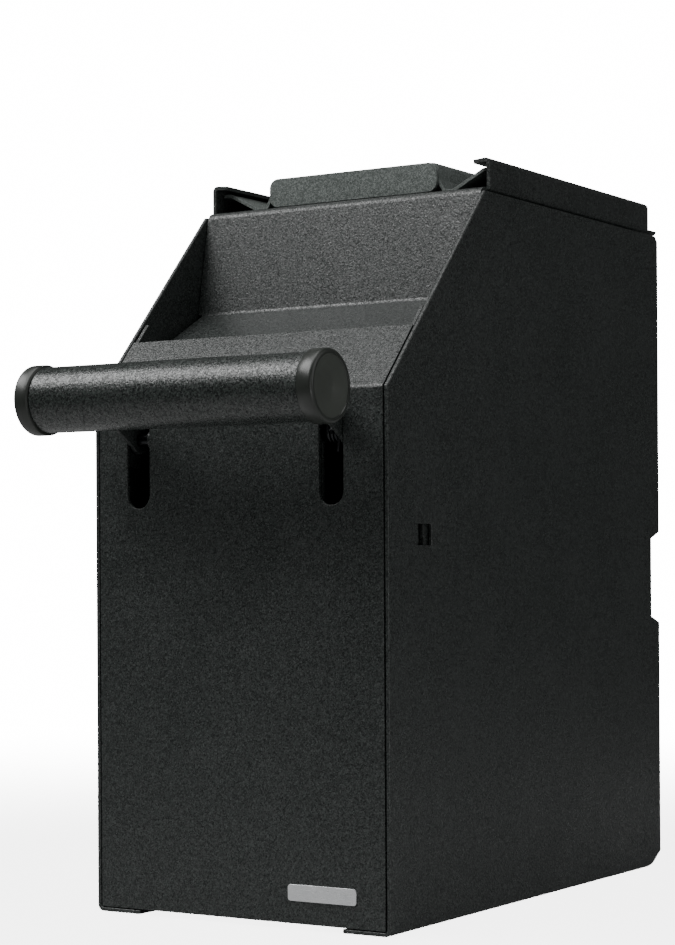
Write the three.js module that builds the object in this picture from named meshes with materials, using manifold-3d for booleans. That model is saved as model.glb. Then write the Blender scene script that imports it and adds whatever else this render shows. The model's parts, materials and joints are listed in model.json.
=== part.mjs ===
// Under-counter note deposit safe: a small box of folded sheet steel with a note hopper at the front,
// a push handle that swings a comb against the notes, a locked rear door and a hanging bracket on top.
// Millimetres, +Z up, +Y to the rear, origin at the middle of the underside.
import * as THREE from "three";
import { mergeVertices } from "three/addons/utils/BufferGeometryUtils.js";
import Module from "manifold-3d";

// Body
const bodyWidth = 102;
const bodyDepth = 180;
const sideHeight = 214;
const slantHeight = 61.2;
const slantDepth = 57;
const sheet = 1.2;
const bendRadius = 0.8;
const seam = 0.5;
const gap = 0.3;

// Rear edge and front edge cut-outs of the outer shell
const notchDepth = 9;
const notchLow = 82.7;
const notchHigh = 113.3;
const notchSlope = 3.1;
const cornerCutDepth = 8;
const cornerCutHeight = 5;
const topCornerCut = 1.7;
const reliefWidth = 70.6;
const reliefDepth = 12;
const windowFront = 15.7;
const windowRear = 24.1;
const windowLow = 108.6;
const windowHigh = 114.6;

// Front panel and its slots
const lipShare = 0.3;
const flangeShare = 0.4;
const flangeBeforeGuide = 6.5;
const slotWidth = 8.2;
const leftSlotX = -35;
const rightSlotX = 32.3;
const slotTopBelowBend = 2.6;
const slotBottomBelowBend = 32.9;

// Note hopper, guide and flap
const innerSheet = 1;
const hopperFlange = 16;
const hopperBend = 2;
const flangeTop = 4.5;
const wallLean = 5.9;
const wallDrop = 32;
const chuteDepth = 26;
const rampDrop = 13.5;
const throatDrop = 5;
const guideBottom = 60;
const guideFlange = 14;
const wingClearance = 5;
const guideLugReach = 4.4;
const guideLugMargin = 3;
const flapPinDiameter = 2.5;
const flapKnuckleWall = 0.8;
const flapDrop = 4;
const flapEar = 1.2;
const flapTipShare = 0.12;
const flapTipBehindShaft = 3;
const windowCorner = 2;

// Roof channel and mounting bracket
const railHeight = 10.7;
const railInset = 0.5;
const railFront = 61.2;
const railRear = 173.5;
const railLip = 5.7;
const railLipDroop = 0.5;
const railBend = 0.5;
const bracketSheet = 1;
const bracketFront = 65;
const bracketLength = 104;
const bracketTop = 11.4;
const crownHalfWidth = 30.5;
const troughHalfWidth = 3.6;
const rimRise = 5.4;
const rimWidth = 2.4;
const apronBottom = 2.5;
const apronCorner = 3;
const troughRise = 4;
const counterHoleDiameter = 5;
const counterHoleX = 20;
const counterHoleInset = 18;

// Handle, pivot shaft and pusher
const tubeDiameter = 19;
const tubeWall = 1.5;
const handleLength = 101.4;
const capWidth = 5;
const capProud = 0.7;
const capFaceInset = 2.4;
const capShoulder = 1.6;
const spigotLength = 6;
const rodDiameter = 4;
const handleReach = 28.4;
const handleBelowBend = 1.9;
const pivotBelowBend = 12.4;
const shaftDiameter = 4;
const shaftClearance = 0.1;
const armThickness = 1.5;
const armHeight = 7.4;
const armHubRadius = 4.1;
const armCrank = 16.6;
const armBend = 5;
const bushWall = 0.7;
const bushCollar = 0.3;
const bushLength = 3;
const bearingX = 42.6;
const hookHalfHeight = 8;
const hookMargin = 2;
const ringThickness = 0.8;
const grooveDepth = 0.5;
const shaftTip = 0.6;
const combThickness = 1;
const combReach = 45;
const combRoot = 14;
const fingerWidth = 14;
const fingerPitch = 23;
const fingerClearance = 3;
const fingerCorner = 3;
const combShift = -3;
const knuckleWall = 1;
const grubDiameter = 2.6;
const grubLength = 3.2;
const springWire = 0.9;
const springClearance = 0.45;
const springTurns = 3;
const coilSpacing = 1.35;
const springFromSlotEdge = 1.4;
const springLegLength = 6;
const flapSpringWire = 0.5;
const flapSpringLeg = 5;

// Rear door and cam lock
const doorInset = 2;
const doorFlange = 8;
const doorSideGap = 0.9;
const doorTopGap = 3.2;
const doorPinDiameter = 3;
const doorKnuckleWall = 1.3;
const doorKnuckleLength = 12;
const doorKnuckleX = 24;
const doorPinHeight = 6;
const pinHeadProud = 0.7;
const pinHeadLength = 1;
const pinTip = 2;
const sillFront = 30;
const sillEarThickness = 2;
const sillEarRun = 6;
const lockBelowTop = 26;
const lockBodyDiameter = 16;
const lockBodyLength = 20;
const lockHeadDiameter = 21;
const lockHeadThickness = 1.5;
const lockNutAcross = 22;
const lockNutThickness = 3;
const lockFlatDepth = 0.9;
const plugDiameter = 11;
const plugProud = 1;
const keyWidth = 1.4;
const keyHeight = 7.6;
const keyDepth = 9;
const camThickness = 2;
const camWidth = 12;
const camReach = 22;
const driveSize = 6;
const driveClearance = 0.15;
const camScrewRadius = 1.5;
const camScrewHeadRadius = 2.9;
const camScrewHeadHeight = 2;
const camScrewSlot = 0.8;
const washerRadius = 5.2;
const washerThickness = 0.8;
const strikeHalfWidth = 14;
const strikeFoot = 12;
const strikeAboveCam = 8;

// Badge plate
const badgeWidth = 22.8;
const badgeHeight = 4.7;
const badgeThickness = 0.4;
const badgeX = 28.7;
const badgeBottom = 8;
const badgeCorner = 0.9;
const badgeGap = 0.05;

// Places that several pieces share
const frontY = -bodyDepth / 2;
const rearY = bodyDepth / 2;
const bendZ = sideHeight - slantHeight;
const innerX = bodyWidth / 2 - sheet;
const panelX = innerX - seam;
const slotTopZ = bendZ - slotTopBelowBend;
const slotBottomZ = bendZ - slotBottomBelowBend;
const shaftRadius = shaftDiameter / 2;
const springCoilRadius = shaftRadius + springClearance + springWire / 2;
const collarRadius = shaftRadius + shaftClearance + bushWall + bushCollar;
const pivotY = frontY + sheet + gap + collarRadius;
const pivotZ = bendZ - pivotBelowBend;
const tubeRadius = tubeDiameter / 2;
const tubeY = frontY - handleReach;
const tubeZ = bendZ - handleBelowBend;
const roofUnder = sideHeight + gap;
const roofTop = roofUnder + sheet;
const railX = bodyWidth / 2 - railInset;
const hopperHalf = panelX - sheet - gap;
const guideY = frontY + chuteDepth;
const flangeDepth = chuteDepth - flangeBeforeGuide;
const wallBottomZ = sideHeight - wallDrop;
const rampBottomZ = wallBottomZ - rampDrop;
const guideTopZ = rampBottomZ - throatDrop - gap;
const flapPinZ = guideTopZ - flapDrop;
const flapPinY = guideY - flapPinDiameter / 2 - flapKnuckleWall - 2 * gap;
const fingerCentres = [-1, 0, 1].map((i) => combShift + i * fingerPitch);
const doorPinY = rearY - doorInset - doorPinDiameter / 2 - doorKnuckleWall - gap;
const lockZ = sideHeight - lockBelowTop;

const wasm = await Module();
wasm.setup();

// Finishes
function finish(color, roughness, metalness) {
  return new THREE.MeshStandardMaterial({ color, roughness, metalness });
}
const blackCoat = finish(0x2f3130, 0.62, 0.1);
const smoothPlastic = finish(0x2e2f2b, 0.38, 0);
const zincSteel = finish(0xa9abab, 0.4, 0.9);
const springSteel = finish(0x3a3b3c, 0.35, 0.95);
const chromeSteel = finish(0xc9cbcd, 0.18, 1);
const silverLabel = finish(0xd8d8d8, 0.35, 0.4);
const blackNylon = finish(0x1d1e1e, 0.5, 0);

// ---- Solids from three.js geometry ----

// A closed three.js geometry as a solid that can be cut and joined.
function solid(geometry) {
  const bare = geometry.clone();
  bare.deleteAttribute("normal");
  bare.deleteAttribute("uv");
  const welded = mergeVertices(bare, 1e-4);
  const corners = welded.index.array;
  const kept = [];
  for (let i = 0; i < corners.length; i += 3) {
    const [a, b, c] = [corners[i], corners[i + 1], corners[i + 2]];
    if (a !== b && b !== c && c !== a) kept.push(a, b, c);
  }
  const mesh = new wasm.Mesh({
    numProp: 3,
    vertProperties: welded.attributes.position.array,
    triVerts: new Uint32Array(kept),
  });
  return new wasm.Manifold(mesh);
}

function join(...bodies) {
  return bodies.reduce((whole, body) => whole.add(body));
}

function cut(body, ...tools) {
  return tools.reduce((rest, tool) => rest.subtract(tool), body);
}

const axisX = new THREE.Vector3(1, 0, 0);
const axisY = new THREE.Vector3(0, 1, 0);
const axisZ = new THREE.Vector3(0, 0, 1);

function outlineShape(outline) {
  return new THREE.Shape(outline.map(([u, v]) => new THREE.Vector2(u, v)));
}

function extrude(outline, length, basis, start) {
  const geometry = new THREE.ExtrudeGeometry(outlineShape(outline), {
    depth: length,
    bevelEnabled: false,
  });
  geometry.applyMatrix4(basis);
  geometry.translate(start.x, start.y, start.z);
  return solid(geometry);
}

// An outline in (y, z), thick from x0 to x1.
function thickX(outline, x0, x1) {
  const basis = new THREE.Matrix4().makeBasis(axisY, axisZ, axisX);
  return extrude(outline, x1 - x0, basis, new THREE.Vector3(x0, 0, 0));
}

// An outline in (x, z), thick from y0 to y1.
function thickY(outline, y0, y1) {
  const basis = new THREE.Matrix4().makeBasis(axisX, axisZ, axisY.clone().negate());
  return extrude(outline, y1 - y0, basis, new THREE.Vector3(0, y1, 0));
}

// An outline in (x, y), thick from z0 to z1.
function thickZ(outline, z0, z1) {
  return extrude(outline, z1 - z0, new THREE.Matrix4(), new THREE.Vector3(0, 0, z0));
}

function block(x0, x1, y0, y1, z0, z1) {
  const geometry = new THREE.BoxGeometry(x1 - x0, y1 - y0, z1 - z0);
  geometry.translate((x0 + x1) / 2, (y0 + y1) / 2, (z0 + z1) / 2);
  return solid(geometry);
}

// A round bar along X, centred on (y, z).
function barX(radius, x0, x1, y, z, sides = 24) {
  const geometry = new THREE.CylinderGeometry(radius, radius, x1 - x0, sides);
  geometry.rotateZ(-Math.PI / 2);
  geometry.translate((x0 + x1) / 2, y, z);
  return solid(geometry);
}

// A round bar along Y, centred on (x, z).
function barY(radius, y0, y1, x, z, sides = 24) {
  const geometry = new THREE.CylinderGeometry(radius, radius, y1 - y0, sides);
  geometry.translate(x, (y0 + y1) / 2, z);
  return solid(geometry);
}

function barZ(radius, z0, z1, x, y, sides = 24) {
  const geometry = new THREE.CylinderGeometry(radius, radius, z1 - z0, sides);
  geometry.rotateX(Math.PI / 2);
  geometry.translate(x, y, (z0 + z1) / 2);
  return solid(geometry);
}

// A sleeve along X: its wall stays open from end to end.
function sleeveX(outer, inner, x0, x1, y, z, sides = 24) {
  return cut(barX(outer, x0, x1, y, z, sides), barX(inner, x0 - 1, x1 + 1, y, z, sides));
}

// ---- Folded sheet outlines ----

// The line moved sideways by a distance, to its left where the distance is positive.
function offsetLine(line, distance) {
  const normals = line.slice(1).map(([u, v], i) => {
    const [du, dv] = [u - line[i][0], v - line[i][1]];
    const length = Math.hypot(du, dv);
    return [-dv / length, du / length];
  });
  return line.map(([u, v], i) => {
    const before = normals[Math.max(i - 1, 0)];
    const after = normals[Math.min(i, normals.length - 1)];
    const mitre = distance / (1 + before[0] * after[0] + before[1] * after[1]);
    return [u + (before[0] + after[0]) * mitre, v + (before[1] + after[1]) * mitre];
  });
}

// The line with each corner turned into an arc of the given radius.
function roundLine(line, radius, steps = 4) {
  const rounded = [line[0]];
  for (let i = 1; i < line.length - 1; i++) {
    const corner = new THREE.Vector2(...line[i]);
    const back = new THREE.Vector2(...line[i - 1]).sub(corner).normalize();
    const ahead = new THREE.Vector2(...line[i + 1]).sub(corner).normalize();
    const half = Math.acos(THREE.MathUtils.clamp(back.dot(ahead), -1, 1)) / 2;
    const reach = radius / Math.tan(half);
    const middle = back.clone().add(ahead).normalize();
    const centre = corner.clone().addScaledVector(middle, radius / Math.sin(half));
    const first = corner.clone().addScaledVector(back, reach).sub(centre);
    const last = corner.clone().addScaledVector(ahead, reach).sub(centre);
    const sweep = Math.atan2(first.cross(last), first.dot(last));
    for (let k = 0; k <= steps; k++) {
      const turned = first.clone().rotateAround(new THREE.Vector2(), (sweep * k) / steps);
      rounded.push([centre.x + turned.x, centre.y + turned.y]);
    }
  }
  rounded.push(line.at(-1));
  return rounded;
}

// The outline of a folded strip. The line is one face, and the strip lies to its left,
// or to its right where the thickness is negative.
function foldedStrip(line, thickness, innerRadius = bendRadius) {
  const half = Math.abs(thickness) / 2;
  const middle = roundLine(offsetLine(line, thickness / 2), innerRadius + half);
  return [...offsetLine(middle, half), ...offsetLine(middle, -half).reverse()];
}

function roundedRectangle(x0, x1, z0, z1, radius, steps = 6) {
  const corners = [[x1, z0, -90], [x1, z1, 0], [x0, z1, 90], [x0, z0, 180]];
  return corners.flatMap(([x, z, start]) => {
    const centreX = x + radius * (x === x1 ? -1 : 1);
    const centreZ = z + radius * (z === z1 ? -1 : 1);
    return Array.from({ length: steps + 1 }, (_, k) => {
      const angle = THREE.MathUtils.degToRad(start + (90 * k) / steps);
      return [centreX + radius * Math.cos(angle), centreZ + radius * Math.sin(angle)];
    });
  });
}

// A point on the slanted front-top edge of the sides: a share of its length, and a depth below it.
function onSlant(share, depth = 0) {
  const length = Math.hypot(slantDepth, slantHeight);
  const y = frontY + share * slantDepth + (depth * slantHeight) / length;
  return [y, bendZ + share * slantHeight - (depth * slantDepth) / length];
}

// ---- The object ----

const safe = new THREE.Group();

function add(name, body, material, parent = safe) {
  const mesh = body.getMesh();
  const geometry = new THREE.BufferGeometry();
  geometry.setAttribute("position", new THREE.BufferAttribute(mesh.vertProperties, 3));
  geometry.setIndex(new THREE.BufferAttribute(mesh.triVerts, 1));
  geometry.computeVertexNormals();
  const piece = new THREE.Mesh(geometry, material);
  piece.name = name;
  parent.add(piece);
}

// Left side, bottom and right side, folded from one sheet.
function outerShell() {
  const half = bodyWidth / 2;
  const face = [[-half, sideHeight], [-half, 0], [half, 0], [half, sideHeight]];
  const shell = thickY(foldedStrip(face, sheet), frontY, rearY);
  const acrossX = (outline) => thickX(outline, -half - 1, half + 1);
  const slant = acrossX([
    [frontY - slantDepth, bendZ - slantHeight],
    onSlant(1),
    [frontY + slantDepth, sideHeight + 1],
    [frontY - slantDepth, sideHeight + 1],
  ]);
  const fingerNotch = acrossX([
    [rearY + 1, notchLow],
    [rearY, notchLow],
    [rearY - notchDepth, notchLow + notchSlope],
    [rearY - notchDepth, notchHigh - notchSlope],
    [rearY, notchHigh],
    [rearY + 1, notchHigh],
  ]);
  const lowCorner = acrossX([
    [rearY - cornerCutDepth, -1],
    [rearY + 1, -1],
    [rearY + 1, cornerCutHeight],
    [rearY, cornerCutHeight],
    [rearY - cornerCutDepth, 0],
  ]);
  const topCorner = acrossX([
    [rearY - topCornerCut, sideHeight],
    [rearY, sideHeight - topCornerCut],
    [rearY + 1, sideHeight - topCornerCut],
    [rearY + 1, sideHeight + 1],
    [rearY - topCornerCut, sideHeight + 1],
  ]);
  const relief = block(
    -reliefWidth / 2, reliefWidth / 2, frontY - 1, frontY + reliefDepth, -1, sheet + 1,
  );
  const sideWindow = block(
    -half - 1, half + 1, frontY + windowFront, frontY + windowRear, windowLow, windowHigh,
  );
  return cut(shell, slant, fingerNotch, lowCorner, topCorner, relief, sideWindow);
}

// An arm slot with round ends, as a tool that cuts through the front panel.
function armSlot(x) {
  const half = slotWidth / 2;
  const outline = roundedRectangle(x - half, x + half, slotBottomZ, slotTopZ, half - 0.01);
  return thickY(outline, frontY - 1, frontY + 2 * sheet);
}

// Upright front, slanted lip and the two flanges that lie inside the shell's sides.
function frontPanel() {
  const bottomZ = sheet + gap;
  const face = [[frontY, bottomZ], [frontY, bendZ], onSlant(lipShare)];
  const front = thickX(foldedStrip(face, -sheet), -panelX, panelX);
  const flange = [
    [frontY + sheet / 2, bottomZ],
    [frontY + flangeDepth, bottomZ],
    [frontY + flangeDepth, bendZ - sheet],
    [guideY - seam, guideTopZ],
    onSlant(flangeShare, flangeDepth / 2),
    onSlant(flangeShare, seam),
    [frontY + sheet / 2, bendZ - sheet / 2],
  ];
  const sides = [-1, 1].map((side) => {
    const [near, far] = [side * (panelX - sheet), side * panelX];
    return thickX(flange, Math.min(near, far), Math.max(near, far));
  });
  return cut(join(front, ...sides), armSlot(leftSlotX), armSlot(rightSlotX));
}

const joggleY = frontY + slantDepth + gap + flangeTop;
const joggleDrop = sheet + gap;
const joggleEndY = joggleY + 2 * joggleDrop;

// Back wall of the note hopper, with the ramp that leads notes down to the chute. Its top is level
// with the roof, its flange steps down under the roof, and its wall widens above the front flanges.
function hopperSheet() {
  const face = [
    [frontY + slantDepth + hopperFlange, roofUnder - gap],
    [joggleEndY, roofUnder - gap],
    [joggleY, roofTop],
    [frontY + slantDepth + gap, roofTop],
    [frontY + slantDepth - wallLean, wallBottomZ],
    [guideY, rampBottomZ],
    [guideY, rampBottomZ - throatDrop],
  ];
  const strip = foldedStrip(face, innerSheet, hopperBend);
  const narrow = thickX(strip, -hopperHalf, hopperHalf);
  const wide = thickX(strip, -(innerX - gap), innerX - gap);
  const wingBottomZ = onSlant(flangeShare)[1] + wingClearance;
  const wings = block(
    -bodyWidth, bodyWidth, frontY, frontY + railFront - gap, wingBottomZ, roofTop + 1,
  ).intersect(wide);
  return join(narrow, wings);
}

// Upright guide behind the chute, with windows for the comb's fingers and ears for the flap's pin.
function noteGuide() {
  const half = innerX - gap;
  const face = [
    [-half, guideY + guideFlange], [-half, guideY], [half, guideY], [half, guideY + guideFlange],
  ];
  const guide = thickZ(foldedStrip(face, innerSheet), guideBottom, guideTopZ);
  const windowTop = pivotZ + fingerClearance;
  const reachBack = chuteDepth - (pivotY - frontY);
  const windowBottom = pivotZ - Math.sqrt(combReach ** 2 - reachBack ** 2) - 2 * fingerClearance;
  const windows = fingerCentres.map((x) =>
    thickY(
      roundedRectangle(
        x - fingerWidth / 2 - fingerClearance, x + fingerWidth / 2 + fingerClearance,
        windowBottom, windowTop, windowCorner,
      ),
      guideY - 1, guideY + innerSheet + 1,
    ),
  );
  const earRadius = flapPinDiameter / 2 + flapKnuckleWall + gap;
  const ears = [-1, 1].map((side) => {
    const inner = side * (half - guideFlange / 4);
    const x0 = Math.min(inner, inner - side * flapEar);
    const x1 = x0 + flapEar;
    const [low, high] = [flapPinZ - earRadius, flapPinZ + earRadius];
    const web = block(x0, x1, flapPinY, guideY + innerSheet / 2, low, high);
    return join(web, barX(earRadius, x0, x1, flapPinY, flapPinZ));
  });
  const pinBore = barX(flapPinDiameter / 2 + shaftClearance, -half, half, flapPinY, flapPinZ, 16);
  const lugs = [-1, 1].map((side) => {
    const [near, far] = [side * (half - innerSheet), side * half];
    return block(
      Math.min(near, far), Math.max(near, far), guideY - guideLugReach, guideY + guideFlange / 2,
      windowLow - guideLugMargin, windowHigh + guideLugMargin,
    );
  });
  return cut(join(guide, ...ears, ...lugs), pinBore, ...windows);
}

const flapEarInner = innerX - gap - guideFlange / 4 - flapEar;

function flapPin() {
  return barX(flapPinDiameter / 2, -hopperHalf, hopperHalf, flapPinY, flapPinZ, 16);
}

// Flap that drops for a note and closes the chute behind it.
function antiFishingFlap() {
  const half = flapEarInner - gap;
  const pinRadius = flapPinDiameter / 2;
  const outer = pinRadius + flapKnuckleWall;
  const [lipY, lipZ] = onSlant(flapTipShare, sheet + 2 * gap);
  const tip = [Math.max(lipY, pivotY + flapTipBehindShaft), Math.min(lipZ, flapPinZ - innerSheet)];
  const blade = foldedStrip([[flapPinY - outer + innerSheet / 2, flapPinZ], tip], innerSheet);
  const knuckle = barX(outer, -half, half, flapPinY, flapPinZ, 16);
  const bore = barX(pinRadius + shaftClearance, -half - 1, half + 1, flapPinY, flapPinZ, 16);
  const roomHalf = flapSpringWire * (springTurns + 3);
  const springRoom = block(
    -roomHalf, roomHalf, flapPinY - outer - gap, flapPinY + outer + 1,
    flapPinZ - outer - 1, flapPinZ + outer + 1,
  );
  return cut(join(thickX(blade, -half, half), knuckle), bore, springRoom);
}

// A coil of wire about an axis along X, with a straight leg at each end.
function torsionSpring(wire, radius, turns, x0, y, z, firstLeg, lastLeg) {
  const points = [...firstLeg].reverse().map((p) => new THREE.Vector3(...p));
  const stepsPerTurn = 10;
  const pitch = wire * coilSpacing;
  for (let k = 0; k <= stepsPerTurn * turns; k++) {
    const angle = (2 * Math.PI * k) / stepsPerTurn + Math.PI;
    const x = x0 + (pitch * k) / stepsPerTurn;
    points.push(new THREE.Vector3(x, y + radius * Math.cos(angle), z + radius * Math.sin(angle)));
  }
  points.push(...lastLeg.map((p) => new THREE.Vector3(...p)));
  const section = Array.from({ length: 6 }, (_, i) => [
    (wire / 2) * Math.cos((i * Math.PI) / 3),
    (wire / 2) * Math.sin((i * Math.PI) / 3),
  ]);
  const geometry = new THREE.ExtrudeGeometry(outlineShape(section), {
    extrudePath: new THREE.CatmullRomCurve3(points, false, "centripetal"),
    steps: points.length + springTurns,
  });
  return solid(geometry);
}

const springX = rightSlotX - slotWidth / 2 + gap + springWire / 2 + springFromSlotEdge;

// Return spring of the handle: one leg bears on the panel above the slot, the other on the right arm.
function returnSpring() {
  const endX = springX + springWire * coilSpacing * springTurns;
  const legY = pivotY - springCoilRadius;
  const panelLeg = [
    [springX, legY, pivotZ + springLegLength / 2],
    [springX, frontY + sheet + 2 * gap + springWire / 2, slotTopZ + springWire],
  ];
  const armLeg = [
    [endX, legY, pivotZ - springLegLength / 2],
    [endX, legY - springWire / 2, pivotZ - springLegLength],
  ];
  return torsionSpring(
    springWire, springCoilRadius, springTurns, springX, pivotY, pivotZ, panelLeg, armLeg,
  );
}

// Light spring of the flap, in the gap at the middle of its knuckle.
function flapSpring() {
  const wire = flapSpringWire;
  const radius = flapPinDiameter / 2 + wire;
  const start = -2 * wire;
  const end = start + wire * coilSpacing * springTurns;
  const legY = flapPinY - radius;
  const leg = (x, way, reach) => [x, legY, flapPinZ + way * reach];
  const upLeg = [leg(start, 1, flapSpringLeg / 2), leg(start, 1, flapSpringLeg - 1)];
  const downLeg = [leg(end, -1, flapSpringLeg / 2), leg(end, -1, flapSpringLeg)];
  return torsionSpring(wire, radius, springTurns, start, flapPinY, flapPinZ, upLeg, downLeg);
}

// Roof of the box: it lies on the sides, and its edges are folded up into two rails with inward lips.
function roofChannel() {
  const railTop = sideHeight + railHeight;
  const lipX = railX - railLip;
  const face = [
    [-lipX, railTop - railLipDroop], [-railX, railTop], [-railX, roofUnder],
    [railX, roofUnder], [railX, railTop], [lipX, railTop - railLipDroop],
  ];
  const channel = thickY(foldedStrip(face, sheet, railBend), frontY + railFront, rearY);
  const railEnd = block(
    -bodyWidth, bodyWidth, frontY + railRear, rearY + 1, roofTop + gap, railTop + 1,
  );
  const hopperRoom = block(
    -hopperHalf - gap, hopperHalf + gap, frontY, joggleEndY + gap, roofUnder - 1, roofTop + 1,
  );
  return cut(channel, railEnd, hopperRoom);
}

// Bracket that is screwed under a counter. Its rims hang in the rails of the roof.
function mountingBracket() {
  const t = bracketSheet;
  const crown = sideHeight + bracketTop;
  const trough = roofTop + gap;
  const rimX = railX - sheet - 2 * gap;
  const rimZ = trough + rimRise;
  const bottomX = crownHalfWidth + troughHalfWidth;
  const half = [
    [rimX, rimZ],
    [rimX - rimWidth, rimZ],
    [bottomX + troughHalfWidth / 2, trough],
    [bottomX - troughHalfWidth / 2, trough],
    [crownHalfWidth - t / 2, trough + troughRise],
    [crownHalfWidth - t, crown - t],
  ];
  const mirrored = half.map(([x, z]) => [-x, z]).reverse();
  const y0 = frontY + bracketFront;
  const y1 = y0 + bracketLength;
  const body = thickY(foldedStrip([...half, ...mirrored], -t, 1), y0, y1);
  const [bottom, apronBack] = [sideHeight + apronBottom, y0 + gap];
  const apron = thickY(
    roundedRectangle(-crownHalfWidth, crownHalfWidth, bottom, crown, apronCorner), y0 - t, apronBack,
  );
  const topHalf = crownHalfWidth - apronCorner;
  const apronTop = block(-topHalf, topHalf, y0 - t, apronBack, crown - apronCorner - t, crown);
  const holes = [-1, 1].flatMap((side) =>
    [y0 + counterHoleInset, y1 - counterHoleInset].map((y) =>
      barZ(counterHoleDiameter / 2, crown - 2 * t, crown + 1, side * counterHoleX, y, 16),
    ),
  );
  return cut(join(body, apron, apronTop), ...holes);
}

// ---- Handle ----

// Cranked flat arm: hub on the pivot shaft, out through the slot, eye on the rod in the tube.
function handleArm(x0) {
  const centre = [[pivotY, pivotZ], [pivotY - armCrank, tubeZ], [tubeY, tubeZ]];
  const middle = roundLine(centre, armBend);
  const edges = [armHeight / 2, -armHeight / 2].map((side) => offsetLine(middle, side));
  const strip = [...edges[0], ...edges[1].reverse()];
  const x1 = x0 + armThickness;
  const arm = join(
    thickX(strip, x0, x1),
    barX(armHubRadius, x0, x1, pivotY, pivotZ),
    barX(armHeight / 2, x0, x1, tubeY, tubeZ),
  );
  const pivotHole = barX(shaftRadius + shaftClearance, x0 - 1, x1 + 1, pivotY, pivotZ);
  const rodHole = barX(rodDiameter / 2 + shaftClearance, x0 - 1, x1 + 1, tubeY, tubeZ, 16);
  return cut(arm, pivotHole, rodHole);
}

const leftArmX = leftSlotX - slotWidth / 2 + gap;
const rightArmX = rightSlotX + slotWidth / 2 - gap - armThickness;

function handleTube() {
  const half = handleLength / 2 - capWidth - gap;
  const tube = sleeveX(tubeRadius, tubeRadius - tubeWall, -half, half, tubeY, tubeZ, 36);
  const slits = [leftArmX, rightArmX].map((x) =>
    block(
      x - gap, x + armThickness + gap, tubeY + tubeRadius / 2, tubeY + tubeRadius + 1,
      tubeZ - armHeight / 2 - gap, tubeZ + armHeight / 2 + gap,
    ),
  );
  return cut(tube, ...slits);
}

// Rod on the tube's axis: it holds the arms' eyes, and both caps are pressed on its ends.
function handleRod() {
  const half = handleLength / 2 - capWidth - gap;
  return barX(rodDiameter / 2, -half, half, tubeY, tubeZ, 16);
}

// Moulded plug that closes one end of the tube.
function handleCap(side) {
  const outer = tubeRadius + capProud;
  const end = handleLength / 2;
  const profile = [
    [0, end],
    [outer - capFaceInset, end],
    [outer - capFaceInset / 3, end - capShoulder / 3],
    [outer, end - capShoulder],
    [outer, end - capWidth],
    [tubeRadius - tubeWall - gap, end - capWidth],
    [tubeRadius - tubeWall - gap, end - capWidth - spigotLength],
    [rodDiameter / 2 + shaftClearance, end - capWidth - spigotLength],
    [rodDiameter / 2 + shaftClearance, end - capWidth],
    [0, end - capWidth],
  ];
  const points = profile.reverse().map(([r, h]) => new THREE.Vector2(r, h));
  const geometry = new THREE.LatheGeometry(points, 36);
  geometry.rotateZ((-side * Math.PI) / 2);
  geometry.translate(0, tubeY, tubeZ);
  return solid(geometry);
}

// Comb clamped on the shaft: its fingers push notes through the guide's windows.
function pusherComb() {
  const knuckleRadius = shaftRadius + knuckleWall;
  const half = combThickness / 2;
  const left = fingerCentres[0] - fingerWidth / 2;
  const right = fingerCentres.at(-1) + fingerWidth / 2;
  const [rootLow, rootHigh] = [pivotZ - combRoot, pivotZ - shaftRadius / 2];
  const root = block(left, right, pivotY - half, pivotY + half, rootLow, rootHigh);
  const knuckle = barX(knuckleRadius, left, right, pivotY, pivotZ);
  const fingers = fingerCentres.map((x) =>
    thickY(
      roundedRectangle(
        x - fingerWidth / 2, x + fingerWidth / 2, pivotZ - combReach, pivotZ - combRoot / 2,
        fingerCorner,
      ),
      pivotY - half, pivotY + half,
    ),
  );
  const bore = barX(shaftRadius + shaftClearance, left - 1, right + 1, pivotY, pivotZ);
  const grubHoles = grubPlaces().map((x) =>
    barY(grubDiameter / 2 + shaftClearance, pivotY, pivotY + knuckleRadius + 1, x, pivotZ, 12),
  );
  return cut(join(root, knuckle, ...fingers), bore, ...grubHoles);
}

function grubPlaces() {
  return [fingerCentres[0], fingerCentres.at(-1)];
}

function grubScrew(x) {
  const start = pivotY + shaftRadius + shaftClearance;
  const end = start + grubLength;
  const screw = barY(grubDiameter / 2, start, end, x, pivotZ, 12);
  const socket = barY(grubDiameter / 4, end - grubLength / 2, end + 1, x, pivotZ, 6);
  return cut(screw, socket);
}

// Hook plate with two feet on the back of the front panel: its open hole holds one end of the shaft.
function shaftBracket(side) {
  const x0 = side * (bearingX - sheet / 2);
  const x1 = side * (bearingX + sheet / 2);
  const footEnd = side * (panelX - sheet - gap);
  const backY = frontY + sheet + gap;
  const depth = pivotY - backY + armHubRadius + hookMargin;
  const face = [[footEnd, backY], [x0, backY], [x0, backY + depth]];
  const [low, high] = [pivotZ - hookHalfHeight, pivotZ + hookHalfHeight];
  const body = thickZ(foldedStrip(face, side * -sheet), low, high);
  const holeRadius = shaftRadius + bushWall + 2 * shaftClearance;
  const hole = barX(holeRadius, Math.min(x0, x1) - 1, Math.max(x0, x1) + 1, pivotY, pivotZ);
  const mouth = block(
    Math.min(x0, footEnd) - 1, Math.max(x0, footEnd) + 1,
    backY - 1, pivotY, pivotZ - holeRadius, pivotZ + holeRadius,
  );
  return cut(body, hole, mouth);
}

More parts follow.
